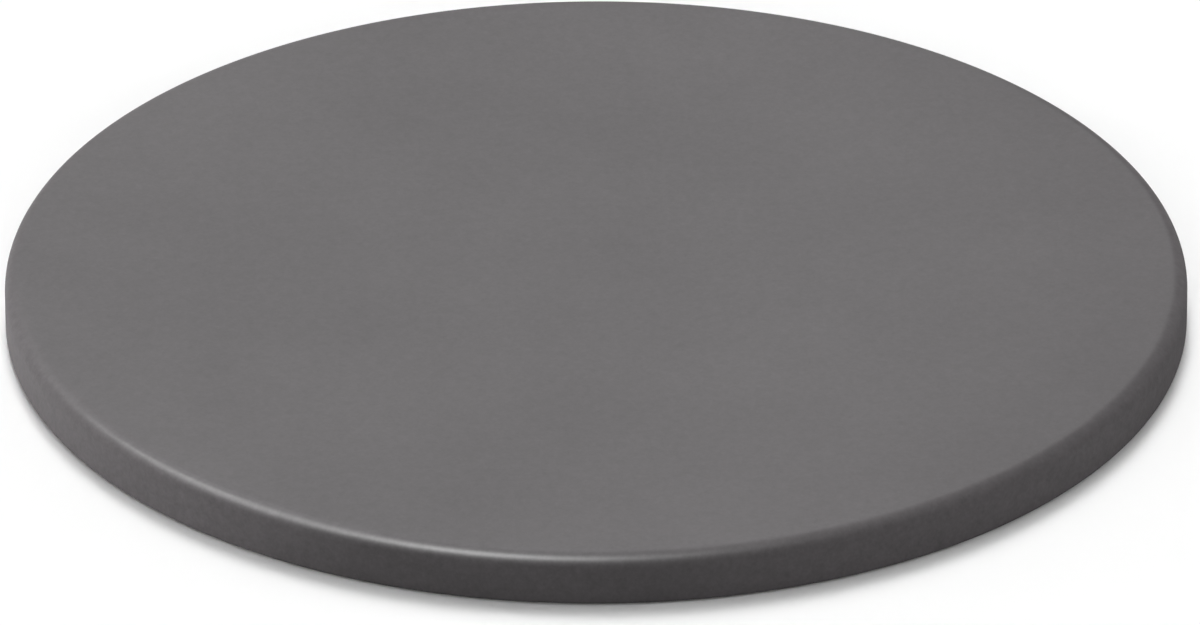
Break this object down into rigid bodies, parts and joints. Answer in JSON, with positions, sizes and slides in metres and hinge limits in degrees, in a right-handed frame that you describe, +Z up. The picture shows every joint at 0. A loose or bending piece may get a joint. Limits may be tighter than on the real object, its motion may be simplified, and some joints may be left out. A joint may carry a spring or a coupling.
{
  "type": "pizza stone",
  "caption": "Round flat baking stone: a fired ceramic slab with a dark satin glaze over its top, rounded edge and wall, and a bare flat underside.",
  "frame": {"origin": "centre of the bare underside that the stone rests on", "axes": "+Z up, along the stone's axis, out of the glazed baking face; X and Y lie anywhere in the underside, because the stone is round"},
  "size_m": [0.3599, 0.36, 0.0165],
  "materials": {
    "fired_ceramic": "matte",
    "dark_glaze": "satin"
  },
  "bodies": {
    "root": {"stone_slab": "fired_ceramic", "glaze_coat": "dark_glaze"}
  },
  "joints": []
}
